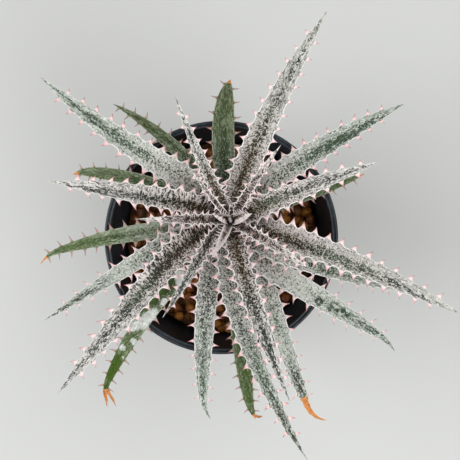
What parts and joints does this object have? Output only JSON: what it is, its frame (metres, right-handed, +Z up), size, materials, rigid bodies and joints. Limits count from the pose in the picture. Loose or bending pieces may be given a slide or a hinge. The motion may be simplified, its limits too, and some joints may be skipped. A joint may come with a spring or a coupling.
{
  "type": "dyckia bromeliad in a nursery pot",
  "caption": "Stiff rosette of channelled, toothed, silver-scaled leaves on a short stem, growing in clay granules in a round black plastic nursery pot.",
  "frame": {"origin": "middle of the pot's underside, on the surface it stands on", "axes": "+Z up along the pot's axis; the pot is round, so +X and +Y are free and set by the rosette, whose longest leaf points between +X and +Y"},
  "size_m": [0.174, 0.1776, 0.1315],
  "materials": {
    "black_plastic": "moulded polypropylene, satin",
    "clay_granules": "rough baked clay, dark brown to amber",
    "stem_bark": "dry woody stem with old leaf scales",
    "leaf_silver": "waxy leaf frosted with silver scales",
    "leaf_green": "waxy green leaf with few scales and a dry tip"
  },
  "bodies": {
    "root": {"pot": "black_plastic", "soil": "clay_granules", "stem": "stem_bark", "leaf_01": "leaf_green", "leaf_02": "leaf_green", "leaf_03": "leaf_green", "leaf_04": "leaf_green", "leaf_05": "leaf_green", "leaf_06": "leaf_green", "leaf_07": "leaf_green", "leaf_08": "leaf_green", "leaf_09": "leaf_silver", "leaf_10": "leaf_silver", "leaf_11": "leaf_silver", "leaf_12": "leaf_silver", "leaf_13": "leaf_silver", "leaf_14": "leaf_silver", "leaf_15": "leaf_silver", "leaf_16": "leaf_silver", "leaf_17": "leaf_silver", "leaf_18": "leaf_silver", "leaf_19": "leaf_silver", "leaf_20": "leaf_silver", "leaf_21": "leaf_silver", "leaf_22": "leaf_silver", "leaf_23": "leaf_silver", "leaf_24": "leaf_silver", "leaf_25": "leaf_silver", "leaf_26": "leaf_silver", "leaf_27": "leaf_silver", "leaf_28": "leaf_silver", "heart_leaf_1": "leaf_silver", "heart_leaf_2": "leaf_silver", "heart_leaf_3": "leaf_silver"}
  },
  "joints": []
}
